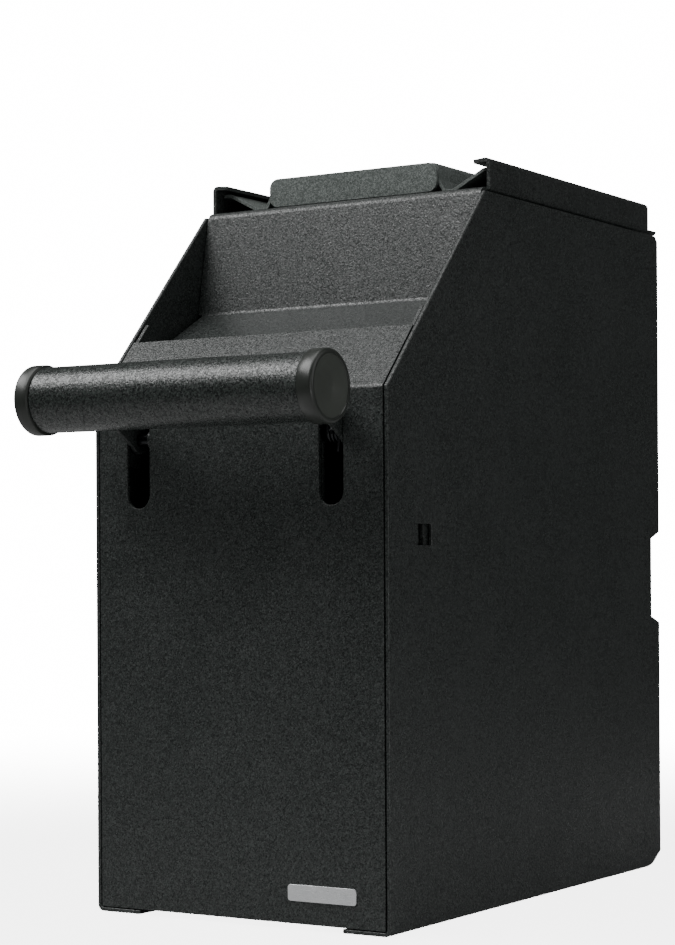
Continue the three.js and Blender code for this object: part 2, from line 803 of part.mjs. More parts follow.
function shaftBush(side) {
  const middle = side * bearingX;
  const inner = shaftRadius + shaftClearance;
  const [start, end] = [middle - bushLength / 2, middle + bushLength / 2];
  const sleeve = barX(inner + bushWall, start, end, pivotY, pivotZ);
  const collarStart = middle - side * (sheet / 2 + shaftClearance);
  const collarEnd = middle - (side * bushLength) / 2;
  const collar = barX(
    collarRadius, Math.min(collarStart, collarEnd), Math.max(collarStart, collarEnd), pivotY, pivotZ,
  );
  const bore = barX(inner, middle - bushLength, middle + bushLength, pivotY, pivotZ);
  return cut(join(sleeve, collar), bore);
}

const shaftEnd = bearingX + bushLength / 2 + ringThickness + 4 * shaftClearance + shaftTip;
const grooveX = shaftEnd - shaftTip - ringThickness / 2 - shaftClearance;

function pivotShaft() {
  const shaft = barX(shaftRadius, -shaftEnd, shaftEnd, pivotY, pivotZ);
  const grooves = [-1, 1].map((side) => {
    const half = ringThickness / 2 + shaftClearance;
    const [x0, x1] = [side * grooveX - half, side * grooveX + half];
    return sleeveX(shaftRadius + 1, shaftRadius - grooveDepth, x0, x1, pivotY, pivotZ);
  });
  return cut(shaft, ...grooves);
}

// Open ring that snaps into the groove at the shaft's end.
function shaftRing(side) {
  const [x0, x1] = [side * grooveX - ringThickness / 2, side * grooveX + ringThickness / 2];
  const inner = shaftRadius - grooveDepth + shaftClearance;
  const ring = sleeveX(shaftRadius + bushWall, inner, x0, x1, pivotY, pivotZ);
  const mouthHalf = inner - shaftClearance;
  const mouth = block(
    x0 - 1, x1 + 1, pivotY, pivotY + shaftDiameter, pivotZ - mouthHalf, pivotZ + mouthHalf,
  );
  return cut(ring, mouth);
}

// ---- Rear door ----

const doorHalf = innerX - doorSideGap;
const doorFaceY = rearY - doorInset;
const doorTopZ = roofUnder - doorTopGap;
const doorKnuckleRadius = doorPinDiameter / 2 + doorKnuckleWall;

// Door pan with flanges on its sides and top, rolled round the pin at its foot.
function rearDoor() {
  const footZ = doorPinHeight + doorKnuckleRadius + gap;
  const flangeY = doorFaceY - doorFlange;
  const panel = block(-doorHalf, doorHalf, doorFaceY - sheet, doorFaceY, footZ, doorTopZ);
  const edges = [
    block(-doorHalf, -doorHalf + sheet, flangeY, doorFaceY, footZ, doorTopZ),
    block(doorHalf - sheet, doorHalf, flangeY, doorFaceY, footZ, doorTopZ),
    block(-doorHalf, doorHalf, flangeY, doorFaceY, doorTopZ - sheet, doorTopZ),
  ];
  const knuckles = [-doorKnuckleX, doorKnuckleX].flatMap((x) => {
    const [x0, x1] = [x - doorKnuckleLength / 2, x + doorKnuckleLength / 2];
    return [
      barX(doorKnuckleRadius, x0, x1, doorPinY, doorPinHeight),
      block(x0, x1, doorFaceY - sheet, doorFaceY, doorPinHeight, footZ + 1),
    ];
  });
  const boreRadius = doorPinDiameter / 2 + shaftClearance;
  const bore = barX(boreRadius, -doorHalf, doorHalf, doorPinY, doorPinHeight, 16);
  const lockHole = barY(lockBodyDiameter / 2 + gap, doorFaceY - sheet - 1, doorFaceY + 1, 0, lockZ, 32);
  return cut(join(panel, ...edges, ...knuckles), bore, lockHole);
}

const sillEars = [-1, 1].flatMap((side) => {
  const reach = doorKnuckleLength / 2 + gap;
  return [side * doorKnuckleX - reach, side * doorKnuckleX + reach];
});

// Strip on the bottom of the box, with ears on both sides of each door knuckle.
function doorSill() {
  const z0 = sheet + gap;
  const y0 = rearY - sillFront;
  const y1 = doorPinY - doorKnuckleRadius - gap;
  const width = doorKnuckleX + doorKnuckleLength;
  const base = block(-width, width, y0, y1, z0, z0 + sheet);
  const ears = sillEars.map((x, i) => {
    const x0 = i % 2 === 0 ? x - sillEarThickness : x;
    const x1 = x0 + sillEarThickness;
    return join(
      barX(doorKnuckleRadius - gap, x0, x1, doorPinY, doorPinHeight),
      thickX(
        [
          [doorPinY, doorPinHeight + doorKnuckleRadius / 2],
          [y1 - sillEarRun, z0 + sheet / 2],
          [y1 - sillEarRun, z0],
          [doorPinY, doorPinHeight - doorKnuckleRadius + gap],
        ],
        x0, x1,
      ),
    );
  });
  const boreRadius = doorPinDiameter / 2 + shaftClearance;
  const bore = barX(boreRadius, -bodyWidth, bodyWidth, doorPinY, doorPinHeight, 16);
  return cut(join(base, ...ears), bore);
}

function doorPin() {
  const end = doorKnuckleX + doorKnuckleLength / 2 + gap + sillEarThickness + gap;
  const headRadius = doorPinDiameter / 2 + pinHeadProud;
  const head = barX(headRadius, end, end + pinHeadLength, doorPinY, doorPinHeight, 16);
  return join(barX(doorPinDiameter / 2, -end - pinTip, end + gap, doorPinY, doorPinHeight, 16), head);
}

// ---- Cam lock ----

const lockHeadY = doorFaceY + gap;
const lockBackY = doorFaceY - lockBodyLength;

function lockBody() {
  const head = barY(lockHeadDiameter / 2, lockHeadY, lockHeadY + lockHeadThickness, 0, lockZ, 32);
  const barrel = barY(lockBodyDiameter / 2, lockBackY, lockHeadY + 0.5, 0, lockZ, 32);
  const boreEnd = lockHeadY + lockHeadThickness + 1;
  const bore = barY(plugDiameter / 2 + gap, lockBackY - 1, boreEnd, 0, lockZ, 32);
  const flats = [-1, 1].map((side) => {
    const flat = side * (lockBodyDiameter / 2 - lockFlatDepth);
    const beyond = side * lockBodyDiameter;
    return block(
      Math.min(flat, beyond), Math.max(flat, beyond),
      lockBackY - 1, doorFaceY - sheet - lockNutThickness - 2 * gap,
      lockZ - lockBodyDiameter, lockZ + lockBodyDiameter,
    );
  });
  return cut(join(head, cut(barrel, ...flats)), bore);
}

function lockNut() {
  const y1 = doorFaceY - sheet - gap;
  const nut = barY(lockNutAcross / Math.sqrt(3), y1 - lockNutThickness, y1, 0, lockZ, 6);
  const bore = barY(lockBodyDiameter / 2 + gap, y1 - lockNutThickness - 1, y1 + 1, 0, lockZ, 32);
  return cut(nut, bore);
}

const camY1 = lockBackY - gap;
const camY0 = camY1 - camThickness;

// Turning plug with its keyway, ending in a square drive for the cam.
function lockPlug() {
  const faceY = lockHeadY + lockHeadThickness + plugProud;
  const plug = barY(plugDiameter / 2, lockBackY, faceY, 0, lockZ, 32);
  const driveHalf = driveSize / 2;
  const drive = block(
    -driveHalf, driveHalf, camY0 - gap, lockBackY + 1, lockZ - driveHalf, lockZ + driveHalf,
  );
  const keyway = block(
    -keyWidth / 2, keyWidth / 2, faceY - keyDepth, faceY + 1, lockZ - keyHeight / 2, lockZ + keyHeight / 2,
  );
  const screwHole = barY(camScrewRadius + shaftClearance, camY0 - 1, lockBackY + 2, 0, lockZ, 12);
  return cut(join(plug, drive), keyway, screwHole);
}

// Cam plate: it lies to the side when the lock is open, and turns up behind the strike.
function lockCam() {
  const outline = roundedRectangle(
    -camWidth / 2, camReach, lockZ - camWidth / 2, lockZ + camWidth / 2, camWidth / 2 - gap,
  );
  const half = driveSize / 2 + driveClearance;
  const hole = block(-half, half, camY0 - 1, camY1 + 1, lockZ - half, lockZ + half);
  return cut(thickY(outline, camY0, camY1), hole);
}

const washerBackY = camY0 - 2 * gap - washerThickness;

function camWasher() {
  const [y0, y1] = [washerBackY, washerBackY + washerThickness];
  const hole = barY(camScrewRadius + gap, y0 - 1, y1 + 1, 0, lockZ, 16);
  return cut(barY(washerRadius, y0, y1, 0, lockZ, 24), hole);
}

function camScrew() {
  const headY = washerBackY - gap;
  const topY = headY - camScrewHeadHeight;
  const head = barY(camScrewHeadRadius, topY, headY, 0, lockZ, 16);
  const shank = barY(camScrewRadius, headY - camScrewHeadHeight / 2, lockBackY + 1, 0, lockZ, 12);
  const slot = block(
    -washerRadius, washerRadius, topY - 1, topY + camScrewHeadHeight / 2,
    lockZ - camScrewSlot / 2, lockZ + camScrewSlot / 2,
  );
  return cut(join(head, shank), slot);
}

// Angle under the roof that the cam turns behind.
function strikePlate() {
  const y1 = camY1 + gap + 2 * sheet;
  const face = [
    [y1 + strikeFoot, roofUnder - gap], [y1, roofUnder - gap], [y1, lockZ + camWidth / 2 + strikeAboveCam],
  ];
  return thickX(foldedStrip(face, sheet), -strikeHalfWidth, strikeHalfWidth);
}

function badgePlate() {
  const outline = roundedRectangle(
    badgeX - badgeWidth / 2, badgeX + badgeWidth / 2, badgeBottom, badgeBottom + badgeHeight,
    badgeCorner,
  );
  return thickY(outline, frontY - badgeGap - badgeThickness, frontY - badgeGap);
}

// ---- Assembly ----

add("outer_shell", outerShell(), blackCoat);
add("front_panel", frontPanel(), blackCoat);
add("hopper_sheet", hopperSheet(), blackCoat);
add("roof_channel", roofChannel(), blackCoat);
add("note_guide", noteGuide(), blackCoat);
add("badge_plate", badgePlate(), silverLabel);
add("strike_plate", strikePlate(), blackCoat);
add("return_spring", returnSpring(), springSteel);
add("flap_spring", flapSpring(), springSteel);
add("flap_pin", flapPin(), zincSteel);
add("anti_fishing_flap", antiFishingFlap(), zincSteel);
for (const [word, side] of [["left", -1], ["right", 1]]) {
  add("shaft_bracket_" + word, shaftBracket(side), blackCoat);
  add("shaft_bush_" + word, shaftBush(side), blackNylon);
  add("shaft_ring_" + word, shaftRing(side), springSteel);
  add("handle_cap_" + word, handleCap(side), smoothPlastic);
}
add("pivot_shaft", pivotShaft(), springSteel);
add("handle_tube", handleTube(), blackCoat);
add("handle_rod", handleRod(), zincSteel);
add("handle_arm_left", handleArm(leftArmX), blackCoat);
add("handle_arm_right", handleArm(rightArmX), blackCoat);
add("pusher_comb", pusherComb(), blackCoat);
grubPlaces().forEach((x, i) => {
  add("comb_screw_" + ["left", "right"][i], grubScrew(x), springSteel);
});
add("rear_door", rearDoor(), blackCoat);
add("door_sill", doorSill(), blackCoat);
add("door_pin", doorPin(), zincSteel);
add("lock_body", lockBody(), chromeSteel);
add("lock_nut", lockNut(), zincSteel);
add("lock_plug", lockPlug(), chromeSteel);
add("lock_cam", lockCam(), zincSteel);
add("cam_washer", camWasher(), zincSteel);
add("cam_screw", camScrew(), zincSteel);
add("mounting_bracket", mountingBracket(), blackCoat);

export default safe;
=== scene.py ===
import json
from math import cos, pi, radians, sin

import bpy
from mathutils import Matrix, Vector

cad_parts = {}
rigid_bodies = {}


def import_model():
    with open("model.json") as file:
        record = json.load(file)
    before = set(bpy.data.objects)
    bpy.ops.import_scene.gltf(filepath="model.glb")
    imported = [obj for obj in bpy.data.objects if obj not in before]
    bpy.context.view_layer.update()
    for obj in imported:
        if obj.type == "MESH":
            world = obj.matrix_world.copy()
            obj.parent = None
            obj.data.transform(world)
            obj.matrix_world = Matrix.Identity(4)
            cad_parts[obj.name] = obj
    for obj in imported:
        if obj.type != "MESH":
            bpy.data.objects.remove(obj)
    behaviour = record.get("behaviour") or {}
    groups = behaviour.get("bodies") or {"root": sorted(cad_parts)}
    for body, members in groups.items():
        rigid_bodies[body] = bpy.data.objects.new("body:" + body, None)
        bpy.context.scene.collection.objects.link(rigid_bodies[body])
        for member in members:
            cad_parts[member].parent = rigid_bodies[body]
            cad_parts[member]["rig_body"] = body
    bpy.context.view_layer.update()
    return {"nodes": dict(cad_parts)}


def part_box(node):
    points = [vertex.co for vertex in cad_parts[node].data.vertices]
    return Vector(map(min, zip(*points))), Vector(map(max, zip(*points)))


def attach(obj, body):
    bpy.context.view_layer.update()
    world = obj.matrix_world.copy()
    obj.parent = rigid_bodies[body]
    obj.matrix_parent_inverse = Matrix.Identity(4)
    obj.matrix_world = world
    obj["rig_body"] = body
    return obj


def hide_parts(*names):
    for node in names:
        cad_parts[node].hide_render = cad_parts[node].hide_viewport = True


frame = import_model()

# ---------------------------------------------------------------- outer shell
# Left side, bottom and right side of the box: one sheet of 1.2 mm mild steel, laser cut and
# folded twice, then coated with black polyester powder. It carries every other piece.
MM = 0.001
CUT_EDGE = 0.34 * MM
BEND_STEP = radians(40)


def linear(hex_colour):
    """An sRGB hex colour as the linear colour that a socket takes."""
    parts = [int(hex_colour[i:i + 2], 16) / 255 for i in (1, 3, 5)]
    return [c / 12.92 if c <= 0.04045 else ((c + 0.055) / 1.055) ** 2.4 for c in parts] + [1]


def add_node(tree, kind, links=(), **settings):
    """One node: settings name its properties and its input sockets, links join other outputs to inputs."""
    made = tree.nodes.new(kind)
    for name, value in settings.items():
        if hasattr(made, name):
            setattr(made, name, value)
        else:
            made.inputs[name.replace("_", " ")].default_value = value
    for socket, source in links:
        tree.links.new(source, made.inputs[socket])
    return made


def new_material(name):
    """An empty node material and its tree."""
    material = bpy.data.materials.new(name)
    material.use_nodes = True
    material.node_tree.nodes.clear()
    return material, material.node_tree


def close_material(material, tree, shader):
    add_node(tree, "ShaderNodeOutputMaterial", [("Surface", shader.outputs[0])])
    return material


def powder_coat(name, dark, light, grain, relief, roughness):
    """Thermoset polyester powder, sprayed dry and baked: the melt skins over into a fine leathery
    grain, so the black is broken into tiny lit slopes and never shows a clear reflection. A share of
    the grains is drawn paler in the base colour, as painted glints."""
    material, tree = new_material(name)
    place = add_node(tree, "ShaderNodeTexCoord").outputs["Object"]
    fine = add_node(tree, "ShaderNodeTexNoise", [("Vector", place)],
                    Scale=0.6 / grain, Detail=2.0, Roughness=0.6)
    bump = add_node(tree, "ShaderNodeBump", [("Height", fine.outputs["Fac"])],
                    Strength=1.0, Distance=relief)
    # A random share of the grains is drawn paler in the base colour: painted glints, standing in for the
    # grains that lean to the light.
    grains = add_node(tree, "ShaderNodeTexVoronoi", [("Vector", place)], Scale=1 / grain)
    grain_lean_and_painted_glint = add_node(tree, "ShaderNodeSeparateColor", [("Color", grains.outputs["Color"])])
    cloud = add_node(tree, "ShaderNodeTexNoise", [("Vector", place)], Scale=1 / (28 * MM), Detail=3.0)
    tint = add_node(tree, "ShaderNodeMapRange", [("Value", grain_lean_and_painted_glint.outputs[0])],
                    From_Min=0.35, From_Max=1.0)
    colour = add_node(tree, "ShaderNodeMix", [("Factor", tint.outputs[0])],
                      data_type="RGBA")
    colour.inputs[6].default_value = linear(dark)
    colour.inputs[7].default_value = linear(light)
    uneven = add_node(tree, "ShaderNodeMath", [(0, cloud.outputs["Fac"]), (1, grain_lean_and_painted_glint.outputs[1])],
                      operation="ADD")
    gloss = add_node(tree, "ShaderNodeMapRange", [("Value", uneven.outputs[0])],
                     From_Min=0.5, From_Max=1.5, To_Min=roughness - 0.16, To_Max=roughness + 0.2)
    glint = add_node(tree, "ShaderNodeMapRange", [("Value", grain_lean_and_painted_glint.outputs[2])],
                     From_Min=0.1, From_Max=0.9, To_Min=0.2, To_Max=0.78)
    shader = add_node(tree, "ShaderNodeBsdfPrincipled",
                      [("Base Color", colour.outputs[2]), ("Roughness", gloss.outputs[0]),
                       ("Specular IOR Level", glint.outputs[0]), ("Normal", bump.outputs[0])], IOR=1.5)
    return close_material(material, tree, shader)


# Fine-grain black on the outside of the box. The real grain is about 0.2 mm across and too fine to
# show, so it is drawn at 0.35 mm.
black_powder = powder_coat("black_polyester_powder", "#1b1e1d", "#373c3a", 0.35 * MM, 0.1 * MM, 0.38)
# Powder draws back from a cut edge as it melts, so the film there is thin and smoother. Its greyer colour is
# partly that thin film and partly a painted highlight along the cut edges.
thin_edge_powder_painted_highlight = powder_coat("thin_cut_edge_powder_painted_highlight", "#1c1f1e", "#424745", 0.35 * MM, 0.02 * MM, 0.22)


def only(piece):
    """Makes one object the selected and active one."""
    bpy.ops.object.select_all(action="DESELECT")
    piece.select_set(True)
    bpy.context.view_layer.objects.active = piece


def use_modifier(piece, kind, **settings):
    """Adds a modifier and applies it."""
    only(piece)
    modifier = piece.modifiers.new(kind.lower(), kind)
    for name, value in settings.items():
        setattr(modifier, name, value)
    bpy.ops.object.modifier_apply(modifier=modifier.name)


def finish_piece(piece, material, edge_material=None, body="safe", stands_for=()):
    """Gives a piece its materials, its CAD body and the nodes that it stands for."""
    piece.data.materials.clear()
    piece.data.materials.append(material)
    piece.data.materials.append(edge_material or material)
    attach(piece, body)
    if stands_for:
        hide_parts(*stands_for)
    return piece


def ease_edges(piece, width, step=BEND_STEP, segments=3):
    """Rounds every cut edge a little, and keeps flat faces flat beside the bends."""
    # The rounded edge faces take the second material. On powdered pieces that is the greyer cut-edge coat,
    # which is partly a painted highlight.
    use_modifier(piece, "BEVEL", width=width, segments=segments, limit_method="ANGLE",
                 angle_limit=step, material=1, harden_normals=False)
    only(piece)
    bpy.ops.object.shade_smooth_by_angle(angle=step)
    use_modifier(piece, "WEIGHTED_NORMAL", keep_sharp=True, weight=100)


def worked_copy(node, name, width=CUT_EDGE):
    """The sheet of a CAD node as one merged mesh with flat faces and eased cut edges."""
    piece = bpy.data.objects.new(name, frame["nodes"][node].data.copy())
    bpy.context.scene.collection.objects.link(piece)
    only(piece)
    bpy.ops.object.mode_set(mode="EDIT")
    bpy.ops.mesh.select_all(action="SELECT")
    bpy.ops.mesh.remove_doubles(threshold=0.002 * MM)
    bpy.ops.mesh.dissolve_limited(angle_limit=radians(0.4))
    bpy.ops.object.mode_set(mode="OBJECT")
    ease_edges(piece, width)
    return piece


def sheet_part(node, name, material=black_powder, edge=thin_edge_powder_painted_highlight, width=CUT_EDGE):
    """A worked copy that rides on its node's body, with the finish that it is given."""
    body = frame["nodes"][node]["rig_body"]
    return finish_piece(worked_copy(node, name, width), material, edge, body, [node])


sheet_part("outer_shell", "shell_sheet")

# ---------------------------------------------------------------- front panel
# Upright front with two slots for the handle's arms, and the slanted lip that a hand rests a
# note on. One folded sheet, spot welded through its side flanges before the powder goes on.
sheet_part("front_panel", "front_sheet")

# ---------------------------------------------------------------- hopper, guide and flap
# The hopper's back wall and ramp lead a note down to the slot. Behind it stand the windowed
# guide and a small zinc-plated flap on a pin, pushed up by a light spring.
sheet_part("hopper_sheet", "hopper_wall")
sheet_part("note_guide", "guide_sheet")


def bright_metal(name, colour, shade, roughness, grain, relief):
    """Bare or plated metal: a clear metal colour with a drawn or rolled grain along X."""
    material, tree = new_material(name)
    place = add_node(tree, "ShaderNodeTexCoord").outputs["Object"]
    drawn = add_node(tree, "ShaderNodeMapping", [("Vector", place)], Scale=(0.06, 1, 1))
    lines = add_node(tree, "ShaderNodeTexNoise", [("Vector", drawn.outputs[0])],
                     Scale=1 / grain, Detail=3.0)
    patches = add_node(tree, "ShaderNodeTexNoise", [("Vector", place)], Scale=1 / (5 * MM), Detail=4.0)
    tint = add_node(tree, "ShaderNodeMix", [("Factor", patches.outputs["Fac"])], data_type="RGBA")
    tint.inputs[6].default_value = linear(colour)
    tint.inputs[7].default_value = linear(shade)
    gloss = add_node(tree, "ShaderNodeMapRange", [("Value", lines.outputs["Fac"])],
                     From_Min=0.3, From_Max=0.7, To_Min=roughness - 0.06, To_Max=roughness + 0.08)
    bump = add_node(tree, "ShaderNodeBump", [("Height", lines.outputs["Fac"])],
                    Strength=0.6, Distance=relief)
    shader = add_node(tree, "ShaderNodeBsdfPrincipled",
                      [("Base Color", tint.outputs[2]), ("Roughness", gloss.outputs[0]),
                       ("Normal", bump.outputs[0])], Metallic=1.0)
    return close_material(material, tree, shader)


# Electroplated zinc with a clear passivate: bluish grey, cloudy, half bright.
zinc_plate = bright_metal("clear_passivated_zinc", "#b9bcc0", "#8f9498", 0.34, 0.12 * MM, 0.004 * MM)
# Oil-blackened steel of the springs and the shaft: nearly black, with a dull wet shine.
spring_wire = bright_metal("oil_blackened_steel", "#3a3b3c", "#262728", 0.3, 0.08 * MM, 0.003 * MM)

sheet_part("anti_fishing_flap", "fishing_flap", zinc_plate, zinc_plate)
sheet_part("flap_pin", "flap_hinge_pin", zinc_plate, zinc_plate, 0.3 * MM)


def wire_coil(name, node, wire, axis_y, axis_z, radius, turns, pitch, start_x, first_leg, last_leg):
    """A torsion spring wound from round wire about an axis along X, with a straight leg at each end."""
    steps = 28
    points = list(first_leg)
    for k in range(int(steps * turns) + 1):
        angle = 2 * pi * k / steps + pi
        points.append((start_x + pitch * k / steps,
                       axis_y + radius * cos(angle), axis_z + radius * sin(angle)))
    points += list(last_leg)
    curve = bpy.data.curves.new(name, "CURVE")
    curve.dimensions = "3D"
    curve.bevel_depth = wire / 2
    curve.bevel_resolution = 4
    curve.use_fill_caps = True
    line = curve.splines.new("POLY")
    line.points.add(len(points) - 1)
    for point, place in zip(line.points, points):
        point.co = (*place, 1)
    piece = bpy.data.objects.new(name, curve)
    bpy.context.scene.collection.objects.link(piece)
    only(piece)
    bpy.ops.object.convert(target="MESH")
    piece = bpy.context.object
    bpy.ops.object.shade_smooth_by_angle(angle=radians(50))
    return finish_piece(piece, spring_wire, None, "safe", [node])


spring_turns = 3
flap_low, flap_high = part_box("flap_spring")
flap_pin_low, flap_pin_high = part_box("flap_pin")
flap_pin_y = (flap_pin_low.y + flap_pin_high.y) / 2
flap_pin_z = (flap_pin_low.z + flap_pin_high.z) / 2
flap_wire = 0.5 * MM
flap_coil = (flap_pin_high.y - flap_pin_low.y) / 2 + flap_wire
flap_first = flap_low.x + flap_wire / 2
flap_last = flap_high.x - flap_wire / 2
flap_leg_y = flap_pin_y - flap_coil
upper_leg = 4 * MM
lower_leg = 5 * MM
wire_coil("flap_coil_spring", "flap_spring", flap_wire, flap_pin_y, flap_pin_z, flap_coil, spring_turns,
          (flap_last - flap_first) / spring_turns, flap_first,
          [(flap_first, flap_leg_y, flap_pin_z + upper_leg)],
          [(flap_last, flap_leg_y, flap_pin_z - lower_leg)])

# ---------------------------------------------------------------- roof and strike
# The roof's edges are folded up and in again, and make the two rails that hang on the bracket.
# The strike is a small angle welded under the roof for the lock's cam.
sheet_part("roof_channel", "roof_sheet")
sheet_part("strike_plate", "strike_angle")

# The roof is welded along the inside of both sides. The bead closes the seam under the rail's bend,
# and stops short of the hopper's wall in front and of the door pan behind.
shell_low, shell_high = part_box("outer_shell")
roof_low, roof_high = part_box("roof_channel")
sheet_thickness = 1.2 * MM
roof_gap = 0.3 * MM
bead_size = 1.4 * MM
bead_clear = 0.04 * MM
bead_start = roof_low.y + 2 * MM
bead_end = roof_high.y - 16 * MM
for side, way in (("left", -1), ("right", 1)):
    bead_x = way * (shell_high.x - sheet_thickness - bead_clear - bead_size / 2)
    bead_z = shell_high.z + roof_gap - bead_clear - bead_size / 2
    bpy.ops.object.select_all(action="DESELECT")
    bpy.ops.mesh.primitive_cube_add(size=1, location=(bead_x, (bead_start + bead_end) / 2, bead_z))
    bead = bpy.context.object
    bead.name = "roof_weld_" + side
    bead.scale = (bead_size, bead_end - bead_start, bead_size)
    bpy.ops.object.transform_apply(location=True, rotation=True, scale=True)
    ease_edges(bead, 0.1 * MM)
    finish_piece(bead, black_powder)

# ---------------------------------------------------------------- shaft, bushes and brackets
# A 4 mm blackened steel shaft lies behind the front panel in two black nylon bushes. The bushes
# sit in small welded hooks, and a snap ring in a groove holds each end.
def moulded_plastic(name, colour, shade, roughness, relief):
    """Injection-moulded plastic: even colour with faint flow marks, a fine spark-eroded skin."""
    material, tree = new_material(name)
    place = add_node(tree, "ShaderNodeTexCoord").outputs["Object"]
    flow = add_node(tree, "ShaderNodeTexNoise", [("Vector", place)], Scale=1 / (6 * MM), Detail=2.0,
                    Distortion=0.8)
    skin = add_node(tree, "ShaderNodeTexNoise", [("Vector", place)], Scale=1 / (0.25 * MM), Detail=2.0)
    tint = add_node(tree, "ShaderNodeMix", [("Factor", flow.outputs["Fac"])], data_type="RGBA")
    tint.inputs[6].default_value = linear(colour)
    tint.inputs[7].default_value = linear(shade)
    gloss = add_node(tree, "ShaderNodeMapRange", [("Value", flow.outputs["Fac"])],
                     From_Min=0.3, From_Max=0.7, To_Min=roughness - 0.04, To_Max=roughness + 0.04)
    bump = add_node(tree, "ShaderNodeBump", [("Height", skin.outputs["Fac"])],
                    Strength=0.5, Distance=relief)
    shader = add_node(tree, "ShaderNodeBsdfPrincipled",
                      [("Base Color", tint.outputs[2]), ("Roughness", gloss.outputs[0]),
                       ("Normal", bump.outputs[0])], IOR=1.49)
    return close_material(material, tree, shader)


# Black nylon 6: carbon-filled, so no light passes, with the soft shine of a bearing plastic.
black_nylon = moulded_plastic("black_nylon", "#161717", "#1e2020", 0.38, 0.01 * MM)

for side in ("left", "right"):
    sheet_part("shaft_bracket_" + side, "shaft_hook_" + side)
    sheet_part("shaft_bush_" + side, "nylon_bush_" + side, black_nylon, black_nylon, 0.08 * MM)
    sheet_part("shaft_ring_" + side, "snap_ring_" + side, spring_wire, spring_wire, 0.08 * MM)
sheet_part("pivot_shaft", "turning_shaft", spring_wire, spring_wire, 0.2 * MM)

# ---------------------------------------------------------------- return spring
# Torsion spring of 0.9 mm wire round the shaft, just inside the right-hand slot. One leg bears
# on the panel above the slot, the other on the arm, and lifts the handle again.
shaft_low, shaft_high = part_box("pivot_shaft")
shaft_y = (shaft_low.y + shaft_high.y) / 2
shaft_z = (shaft_low.z + shaft_high.z) / 2
spring_low, spring_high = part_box("return_spring")
spring_wire_size = 0.9 * MM
coil_clear = 0.45 * MM
spring_radius = (shaft_high.y - shaft_low.y) / 2 + coil_clear + spring_wire_size / 2
spring_first = spring_low.x + spring_wire_size / 2
spring_last = spring_high.x - spring_wire_size / 2
leg_y = shaft_y - spring_radius
leg_bend = 3 * MM
upper_kick = 0.55 * MM
lower_kick = 0.45 * MM
leg_end_inset = 0.4 * MM
wire_coil("handle_return_spring", "return_spring", spring_wire_size, shaft_y, shaft_z, spring_radius,
          spring_turns, (spring_last - spring_first) / spring_turns, spring_first,
          [(spring_first, leg_y + upper_kick, spring_high.z - leg_end_inset),
           (spring_first, leg_y, shaft_z + leg_bend)],
          [(spring_last, leg_y, shaft_z - leg_bend),
           (spring_last, leg_y - lower_kick, spring_low.z + leg_end_inset)])

# ---------------------------------------------------------------- comb
# Powder-coated comb clamped on the shaft by two grub screws. When the handle goes down its three
# fingers swing through the guide's windows and push the notes into the box.
sheet_part("pusher_comb", "note_comb")
for side in ("left", "right"):
    sheet_part("comb_screw_" + side, "grub_screw_" + side, spring_wire, spring_wire, 0.1 * MM)

# ---------------------------------------------------------------- handle arms
# Two cranked flat arms, 1.5 mm steel in the same powder, from the shaft through the slots to the
# rod in the handle tube.
for side in ("left", "right"):
    sheet_part("handle_arm_" + side, "cranked_arm_" + side)
sheet_part("handle_rod", "tube_rod", zinc_plate, zinc_plate, 0.3 * MM)

# ---------------------------------------------------------------- handle tube
# 19 mm steel tube with a 1.5 mm wall. Its powder is thicker than the box's, so the grain is
# coarser and wetter, and a long soft highlight breaks up on it.
tube_powder = powder_coat("thick_black_powder", "#1a1d1c", "#3a403d", 0.4 * MM, 0.12 * MM, 0.3)
tube_low, tube_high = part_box("handle_tube")
tube_radius = (tube_high.z - tube_low.z) / 2
tube_wall = 1.5 * MM
tube_y = (tube_low.y + tube_high.y) / 2
tube_z = (tube_low.z + tube_high.z) / 2
tube_length = tube_high.x - tube_low.x
ROUND = 96


def bar_along_x(radius, x0, x1, y, z, sides=ROUND):
    """A round bar along X from x0 to x1, as a primitive with its place already in its mesh."""
    bpy.ops.object.select_all(action="DESELECT")
    bpy.ops.mesh.primitive_cylinder_add(vertices=sides, radius=radius, depth=x1 - x0,
                                        location=((x0 + x1) / 2, y, z), rotation=(0, pi / 2, 0))
    bpy.ops.object.transform_apply(location=True, rotation=True, scale=True)
    return bpy.context.object


def select_faces(piece, wanted):
    """Selects the faces whose centre and normal pass a test, and leaves the piece in edit mode."""
    only(piece)
    bpy.ops.object.mode_set(mode="EDIT")
    bpy.ops.mesh.select_mode(type="FACE")
    bpy.ops.mesh.select_all(action="DESELECT")
    bpy.ops.object.mode_set(mode="OBJECT")
    for face in piece.data.polygons:
        face.select = wanted(face.center, face.normal)
    bpy.ops.object.mode_set(mode="EDIT")


slit_height = 8 * MM
slit_clear = 0.6 * MM
tube = bar_along_x(tube_radius, tube_low.x, tube_high.x, tube_y, tube_z)
tube.name = "grip_tube"
select_faces(tube, lambda centre, normal: abs(normal.x) > 0.9)
bpy.ops.mesh.inset(thickness=tube_wall)
bpy.ops.mesh.bridge_edge_loops()
bpy.ops.object.mode_set(mode="OBJECT")
for side in ("left", "right"):
    arm_low, arm_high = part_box("handle_arm_" + side)
    bpy.ops.object.select_all(action="DESELECT")
    bpy.ops.mesh.primitive_cube_add(size=1, location=(
        (arm_low.x + arm_high.x) / 2, tube_y + tube_radius, tube_z))
    slit = bpy.context.object
    slit.scale = (arm_high.x - arm_low.x + slit_clear, tube_radius, slit_height)
    bpy.ops.object.transform_apply(location=True, rotation=True, scale=True)
    use_modifier(tube, "BOOLEAN", operation="DIFFERENCE", object=slit, solver="EXACT")
    bpy.data.objects.remove(slit)
ease_edges(tube, 0.2 * MM, radians(35))
finish_piece(tube, tube_powder, thin_edge_powder_painted_highlight, "handle", ["handle_tube"])

